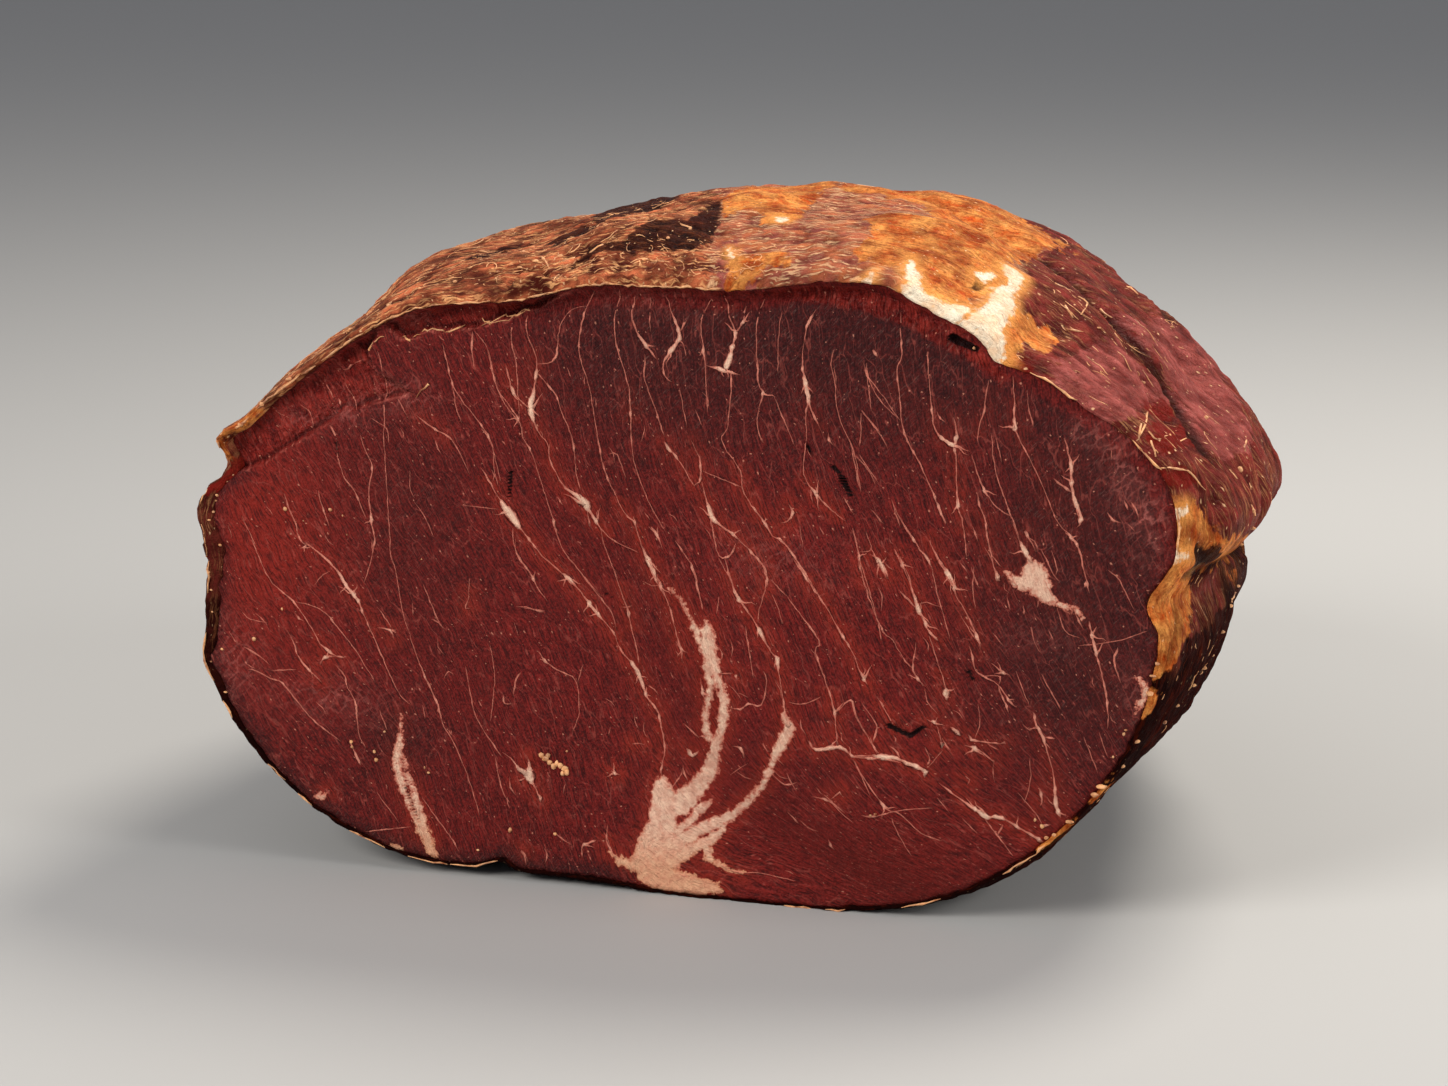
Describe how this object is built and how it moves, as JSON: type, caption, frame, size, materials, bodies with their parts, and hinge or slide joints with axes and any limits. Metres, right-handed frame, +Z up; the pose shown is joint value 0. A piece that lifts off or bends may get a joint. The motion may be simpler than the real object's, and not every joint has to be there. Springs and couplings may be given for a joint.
{
  "type": "bresaola",
  "caption": "Half of an air-dried cured beef round, cut straight across, with a wrinkled crust marked by its string and a marbled dark red cut face.",
  "frame": {"origin": "middle of the bounding box in X and Y, at the surface that the meat rests on", "axes": "the cut faces -Y and the tied end points along +Y; +X runs to the right along the width of the cut; +Z is up"},
  "size_m": [0.1662, 0.1518, 0.1069],
  "materials": {
    "crust": "dried, wrinkled crust, slightly waxy",
    "meat": "moist cut cured beef with a fine grain",
    "fat": "firm pinkish white fat"
  },
  "bodies": {
    "root": {"bresaola": "crust"}
  },
  "joints": []
}
